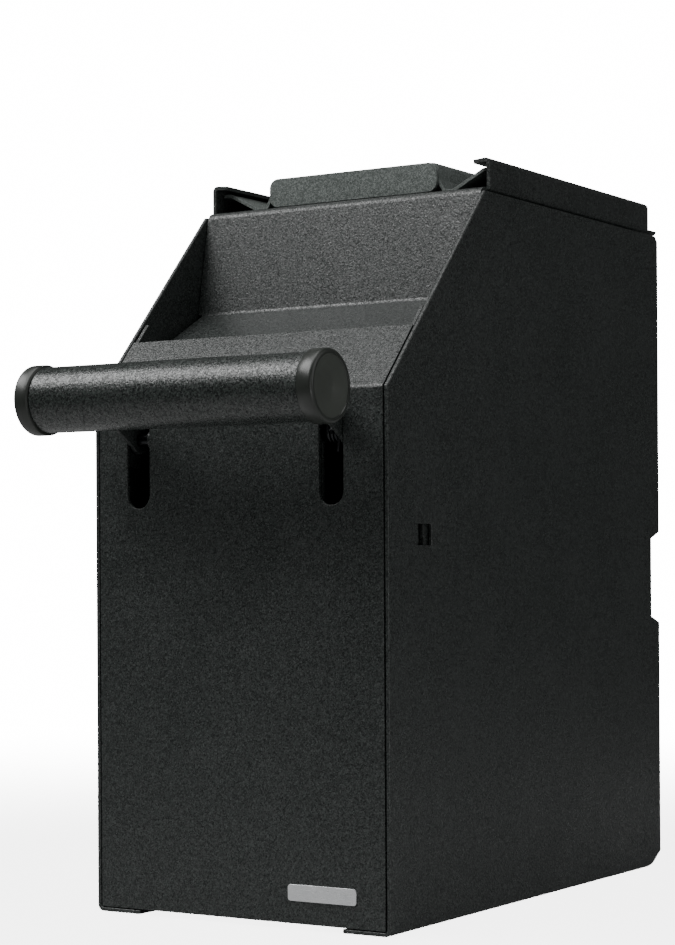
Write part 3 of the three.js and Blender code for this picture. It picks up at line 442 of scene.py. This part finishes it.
# ---------------------------------------------------------------- handle caps
# Push-in plugs moulded in dark olive-grey polyethylene. The collar stands a little proud of the
# tube, and the end is a flat disc inside a thin raised rim.
cap_plastic = moulded_plastic("satin_polyethylene", "#232623", "#2b2f2b", 0.34, 0.012 * MM)
# The end disc is the same polyethylene drawn paler: painted light on the flat end faces.
cap_disc_painted_lit_plastic = moulded_plastic("satin_polyethylene_disc_painted_lit", "#383c37", "#3f433e", 0.45, 0.012 * MM)


def turned_along_x(name, profile, y, z, sides=ROUND):
    """A turned shape: a circle on the axis, extruded and scaled from step to step of (x, radius)."""
    bpy.ops.object.select_all(action="DESELECT")
    first_x, first_radius = profile[0]
    bpy.ops.mesh.primitive_circle_add(vertices=sides, radius=first_radius, fill_type="NGON",
                                      location=(first_x, y, z), rotation=(0, pi / 2, 0))
    piece = bpy.context.object
    piece.name = name
    bpy.ops.object.transform_apply(location=True, rotation=True, scale=True)
    bpy.ops.object.mode_set(mode="EDIT")
    bpy.ops.mesh.select_all(action="SELECT")
    for (x0, r0), (x1, r1) in zip(profile, profile[1:]):
        bpy.ops.mesh.extrude_region_move(TRANSFORM_OT_translate={"value": (x1 - x0, 0, 0)})
        bpy.ops.transform.resize(value=(1, r1 / r0, r1 / r0), center_override=(x1, y, z))
    bpy.ops.mesh.select_all(action="SELECT")
    bpy.ops.mesh.normals_make_consistent(inside=False)
    bpy.ops.object.mode_set(mode="OBJECT")
    return piece


cap_clear = 0.3 * MM
disc_inset = 1.7 * MM
disc_reach = 0.4 * MM
for side, way in (("left", -1), ("right", 1)):
    cap_low, cap_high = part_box("handle_cap_" + side)
    cap_radius = (cap_high.z - cap_low.z) / 2
    cap_end = cap_high.x if way > 0 else cap_low.x
    bore = tube_radius - tube_wall - cap_clear
    tube_end = tube_high.x if way > 0 else tube_low.x
    shoulder = tube_end + way * cap_clear
    inner_end = cap_low.x if way > 0 else cap_high.x
    steps = [
        (inner_end, bore - 0.5 * MM),
        (inner_end + way * 0.5 * MM, bore),
        (shoulder, bore),
        (shoulder, cap_radius - 0.25 * MM),
        (shoulder + way * 0.25 * MM, cap_radius),
        (cap_end - way * 1.1 * MM, cap_radius),
        (cap_end - way * 0.75 * MM, cap_radius - 0.06 * MM),
        (cap_end - way * 0.42 * MM, cap_radius - 0.25 * MM),
        (cap_end - way * 0.16 * MM, cap_radius - 0.55 * MM),
        (cap_end - way * 0.02 * MM, cap_radius - 0.95 * MM),
        (cap_end, cap_radius - 1.25 * MM),
        (cap_end - way * 0.05 * MM, cap_radius - 1.5 * MM),
        (cap_end - way * 0.28 * MM, cap_radius - 1.62 * MM),
        (cap_end - way * 0.3 * MM, cap_radius - 1.8 * MM),
        (cap_end - way * 0.24 * MM, 1.6 * MM),
        (cap_end - way * 0.32 * MM, 1.35 * MM),
        (cap_end - way * 0.32 * MM, 0.3 * MM),
    ]
    cap = turned_along_x("tube_plug_" + side, steps, tube_y, tube_z)
    only(cap)
    bpy.ops.object.shade_smooth_by_angle(angle=radians(50))
    finish_piece(cap, cap_plastic, cap_disc_painted_lit_plastic, "handle", ["handle_cap_" + side])
    # The flat end disc inside the rim takes the paler copy of the plastic, which is painted light.
    for face in cap.data.polygons:
        at_end = abs(face.center.x - cap_end) < disc_reach
        reach = (Vector(face.center) - Vector((face.center.x, tube_y, tube_z))).length
        face.material_index = 1 if at_end and reach < cap_radius - disc_inset else 0

# ---------------------------------------------------------------- rear door and its hinge
# Folded door pan, rolled round a 3 mm pin at its foot. The sill with its four ears is welded to
# the bottom of the box.
sheet_part("rear_door", "door_pan")
sheet_part("door_sill", "hinge_sill")
sheet_part("door_pin", "hinge_pin", zinc_plate, zinc_plate, 0.3 * MM)

# ---------------------------------------------------------------- cam lock
# Die-cast cam lock, bright chrome over nickel, held in the door by a zinc-plated nut. The plug
# turns a flat cam up behind the strike.
bright_chrome = bright_metal("bright_chrome_plate", "#d8dadc", "#c3c6c9", 0.12, 0.3 * MM, 0.001 * MM)
sheet_part("lock_body", "lock_barrel", bright_chrome, bright_chrome, 0.25 * MM)
sheet_part("lock_plug", "key_plug", bright_chrome, bright_chrome, 0.2 * MM)
for node, name in (("lock_nut", "lock_hex_nut"), ("lock_cam", "cam_plate"),
                   ("cam_washer", "cam_flat_washer"), ("cam_screw", "cam_slot_screw")):
    sheet_part(node, name, zinc_plate, zinc_plate, 0.2 * MM)

# ---------------------------------------------------------------- mounting bracket
# The bracket is screwed under the counter by its raised middle. Its two rims slide in the rails
# of the roof from the front, and its apron closes the gap under the counter. Its coat is drawn
# paler than the box's.
bracket_powder = powder_coat("bracket_black_powder", "#4a504d", "#7c827f", 0.3 * MM, 0.06 * MM, 0.4)
sheet_part("mounting_bracket", "counter_bracket", bracket_powder, thin_edge_powder_painted_highlight)

# ---------------------------------------------------------------- badge
# Thin aluminium plate with rounded corners, glued low on the front. It is blank.
# Anodised aluminium: silver, ground along its length before it was anodised.
anodised = bright_metal("ground_anodised_aluminium", "#f0f1f2", "#dcdee0", 0.3, 0.15 * MM, 0.002 * MM)
sheet_part("badge_plate", "blank_badge", anodised, anodised, 0.08 * MM)

# ---------------------------------------------------------------- studio
# Pale floor that fades into a white background. The main light is high at the front left, and weaker
# ones are overhead and to the right. The camera stands low in front, to the right of the box.
OBJECT_MIDDLE = Vector((0, 0, 0.11))
bpy.ops.object.select_all(action="DESELECT")
bpy.ops.mesh.primitive_circle_add(vertices=128, radius=1.6, fill_type="NGON", location=(0, 0, -0.0002))
floor = bpy.context.object
floor.name = "floor"
floor_paint, floor_tree = new_material("pale_floor")
floor_place = add_node(floor_tree, "ShaderNodeTexCoord").outputs["Object"]
floor_reach = add_node(floor_tree, "ShaderNodeVectorMath", [(0, floor_place)], operation="LENGTH")
floor_fade = add_node(floor_tree, "ShaderNodeMapRange", [("Value", floor_reach.outputs["Value"])],
                      interpolation_type="SMOOTHSTEP", From_Min=0.16, From_Max=0.75, To_Min=0.3)
floor_flat = add_node(floor_tree, "ShaderNodeBsdfDiffuse", Color=linear("#dcdcdc"))
floor_clear = add_node(floor_tree, "ShaderNodeBsdfTransparent")
floor_shader = add_node(floor_tree, "ShaderNodeMixShader",
                        [(0, floor_fade.outputs[0]), (1, floor_flat.outputs[0]), (2, floor_clear.outputs[0])])
floor.data.materials.append(close_material(floor_paint, floor_tree, floor_shader))

world = bpy.data.worlds.new("studio")
bpy.context.scene.world = world
world.use_nodes = True
world.node_tree.nodes.clear()
seen = add_node(world.node_tree, "ShaderNodeLightPath")
room = add_node(world.node_tree, "ShaderNodeBackground", Color=linear("#ffffff"), Strength=0.06)
backdrop = add_node(world.node_tree, "ShaderNodeBackground", Color=linear("#ffffff"), Strength=16.0)
both = add_node(world.node_tree, "ShaderNodeMixShader",
                [(0, seen.outputs["Is Camera Ray"]), (1, room.outputs[0]), (2, backdrop.outputs[0])])
add_node(world.node_tree, "ShaderNodeOutputWorld", [("Surface", both.outputs[0])])


def soft_light(name, azimuth, elevation, distance, width, height, power):
    """A large soft box that faces the object. Azimuth 0 is in front, positive to the right."""
    a, e = radians(azimuth), radians(elevation)
    place = Vector((sin(a) * cos(e), -cos(a) * cos(e), sin(e))) * distance + OBJECT_MIDDLE
    light = bpy.data.lights.new(name, "AREA")
    light.shape = "RECTANGLE"
    light.size = width
    light.size_y = height
    light.energy = power
    box = bpy.data.objects.new(name, light)
    box.matrix_world = Matrix.Translation(place) @ (-place).to_track_quat("-Z", "Y").to_matrix().to_4x4()
    bpy.context.scene.collection.objects.link(box)


soft_light("key_light", -45, 46, 1.2, 1.2, 0.5, 14)
soft_light("top_light", -20, 76, 1.1, 0.9, 0.9, 7)
soft_light("side_fill", 100, 25, 1.4, 1.2, 1.2, 4.8)
soft_light("corner_fill", 48, 4, 1.4, 0.5, 0.9, 1.3)
soft_light("table_glow", 52, -8, 0.6, 0.5, 0.04, 0.3)

FOCAL = 89.34
camera_data = bpy.data.cameras.new("camera")
camera_data.sensor_width = 36
camera_data.lens = FOCAL
camera_data.shift_y = 87.5 / 945
camera_data.clip_start = 0.01
camera = bpy.data.objects.new("camera", camera_data)
turn = Matrix.Rotation(radians(32.12), 4, "Z") @ Matrix.Rotation(radians(89.99), 4, "X")
camera.matrix_world = (Matrix.Translation((0.3834, -0.6460, 0.1046)) @ turn
                       @ Matrix.Rotation(radians(-0.33), 4, "Z"))
bpy.context.scene.collection.objects.link(camera)
bpy.context.scene.camera = camera
